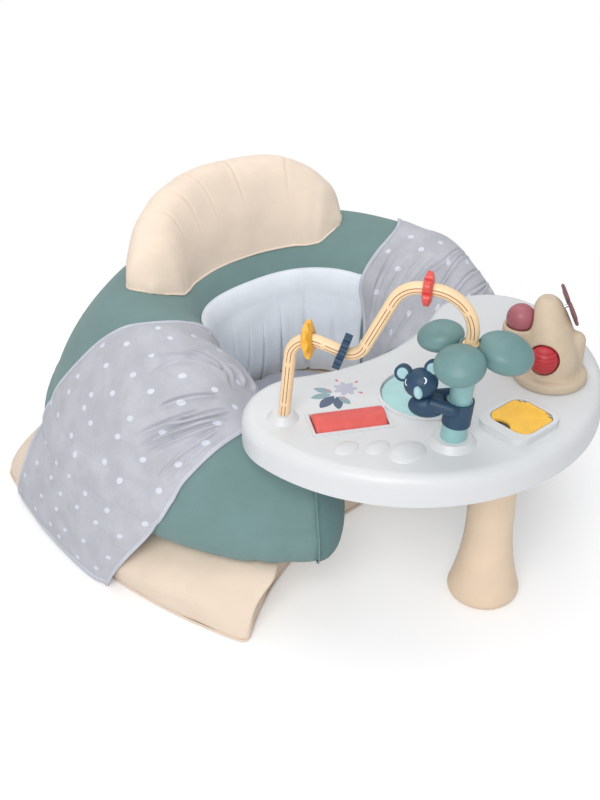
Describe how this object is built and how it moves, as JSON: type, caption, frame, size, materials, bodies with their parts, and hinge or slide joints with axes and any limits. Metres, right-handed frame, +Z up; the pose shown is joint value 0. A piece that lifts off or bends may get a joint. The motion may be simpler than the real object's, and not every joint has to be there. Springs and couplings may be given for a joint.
{
  "type": "baby activity seat",
  "caption": "Inflatable horseshoe baby seat in a fabric cover with a headrest cushion and a bean-shaped activity table with toys on a single leg.",
  "frame": {"origin": "on the floor under the centre of the seat ring, on the underside of the base", "axes": "+Z up, -Y towards the table, which the baby faces, +X to the right of someone who looks along +Y"},
  "size_m": [0.769, 0.8234, 0.4984],
  "materials": {
    "fabric_beige": "matte woven fabric",
    "fabric_under": "plain lining fabric",
    "fabric_sage": "smooth woven fabric",
    "fabric_dots": "woven fabric with white dots",
    "fabric_pad": "soft jersey fabric",
    "air_film": "clear vinyl film filled with air",
    "zip_tape": "zip tape",
    "zip_metal": "moulded plastic",
    "tray_white": "gloss white",
    "tray_under": "satin white",
    "leg_cream": "satin cream",
    "steel": "bright",
    "strap_dark": "dark webbing",
    "rail_cream": "cream with brown grooves",
    "bead_yellow": "yellow",
    "navy": "navy blue",
    "koala_nose": "pale blue-grey",
    "koala_pale": "pale blue",
    "bead_red": "red",
    "leaf_green": "sage",
    "trunk_teal": "pale teal",
    "flange_brown": "dark",
    "disc_teal": "pale teal",
    "disc_clear": "clear grey",
    "roller_coral": "coral",
    "flap_yellow": "yellow",
    "mound_beige": "beige",
    "ball_mauve": "mauve",
    "ball_red": "dark red",
    "butterfly": "dark mauve"
  },
  "bodies": {
    "seat": {"base_cover": "fabric_beige", "base_bottom_panel": "fabric_under", "base_zip_tape": "zip_tape", "base_bladder": "air_film", "ring_cover": "fabric_sage", "ring_bladder": "air_film", "end_panel_left": "fabric_sage", "end_panel_right": "fabric_sage", "air_valves": "air_film", "valve_plugs": "air_film", "headrest_cover": "fabric_beige", "headrest_bladder": "air_film", "backrest_pad": "fabric_pad", "seat_pad": "fabric_pad", "arm_band_left": "fabric_dots", "arm_band_right": "fabric_dots"},
    "zip_pull": {"base_zip_slider": "zip_metal"},
    "table": {"tray_top": "tray_white", "tray_bottom": "tray_under", "tray_screws": "steel", "table_leg": "leg_cream", "leg_screw": "steel", "tray_strap": "strap_dark", "bead_rail": "rail_cream", "rail_flange": "flange_brown", "palm_trunk": "trunk_teal", "trunk_collar": "trunk_teal", "leaf_hub": "leaf_green", "leaf_1": "leaf_green", "leaf_2": "leaf_green", "leaf_3": "leaf_green", "disc_pin": "disc_clear", "roller_axle": "steel", "flap_pin": "steel", "mound": "mound_beige", "ball_mauve_pin": "steel", "ball_red_pin": "steel", "butterfly_pin": "steel"},
    "koala_slide": {"koala_liner": "trunk_teal"},
    "koala": {"koala_sleeve": "navy", "koala_body": "navy", "koala_head": "navy", "koala_ears": "navy", "koala_inner_ears": "koala_pale", "koala_nose": "koala_nose"},
    "disc": {"spin_disc": "disc_teal", "disc_window": "disc_clear"},
    "roller": {"roller_drum": "roller_coral"},
    "flap_lid": {"flap": "flap_yellow"},
    "star_bead": {"bead_yellow": "bead_yellow"},
    "wheel_bead": {"bead_navy": "navy"},
    "flower_bead": {"bead_red": "bead_red"},
    "upper_ball": {"ball_mauve": "ball_mauve"},
    "lower_ball": {"ball_red": "ball_red"},
    "wings": {"butterfly": "butterfly"}
  },
  "joints": [
    {"name": "table_lift", "type": "slide", "parent": "seat", "child": "table", "axis": [0, 0, 1], "range_m": [0, 0.3]},
    {"name": "zip_run", "type": "slide", "parent": "seat", "child": "zip_pull", "axis": [1, 0, 0], "range_m": [0, 0.28]},
    {"name": "koala_climb", "type": "slide", "parent": "table", "child": "koala_slide", "axis": [0.0628, -0.0548, 0.9965], "range_m": [0, 0.003]},
    {"name": "koala_turn", "type": "hinge", "parent": "koala_slide", "child": "koala", "pos_m": [-0.087, -0.394, 0.282], "axis": [0.0628, -0.0548, 0.9965], "range_deg": [0, 35]},
    {"name": "disc_spin", "type": "hinge", "parent": "table", "child": "disc", "pos_m": [-0.036, -0.301, 0.282], "axis": [0, 0, 1], "continuous": true},
    {"name": "roller_spin", "type": "hinge", "parent": "table", "child": "roller", "pos_m": [-0.149, -0.283, 0.273], "axis": [0.8788, -0.4772, 0], "continuous": true},
    {"name": "flap_open", "type": "hinge", "parent": "table", "child": "flap_lid", "pos_m": [0.0311, -0.4215, 0.2892], "axis": [0, 1, 0], "range_deg": [0, 100]},
    {"name": "star_turn", "type": "hinge", "parent": "table", "child": "star_bead", "pos_m": [-0.18625, -0.25148, 0.39604], "axis": [0.5789, -0.8059, 0.1242], "continuous": true},
    {"name": "wheel_run", "type": "slide", "parent": "table", "child": "wheel_bead", "axis": [-0.5526, 0.7692, 0.3209], "range_m": [0, 0.013]},
    {"name": "flower_turn", "type": "hinge", "parent": "table", "child": "flower_bead", "pos_m": [-0.10842, -0.35983, 0.47787], "axis": [0.5831, -0.8117, -0.034], "continuous": true},
    {"name": "upper_ball_turn", "type": "hinge", "parent": "table", "child": "upper_ball", "pos_m": [0.096, -0.335, 0.355], "axis": [-0.5285, 0.8489, 0], "continuous": true},
    {"name": "lower_ball_turn", "type": "hinge", "parent": "table", "child": "lower_ball", "pos_m": [0.088, -0.383, 0.319], "axis": [0, 0, 1], "continuous": true},
    {"name": "wings_turn", "type": "hinge", "parent": "table", "child": "wings", "pos_m": [0.1365, -0.3762, 0.376], "axis": [0.7262, -0.5786, 0.3714], "continuous": true}
  ]
}
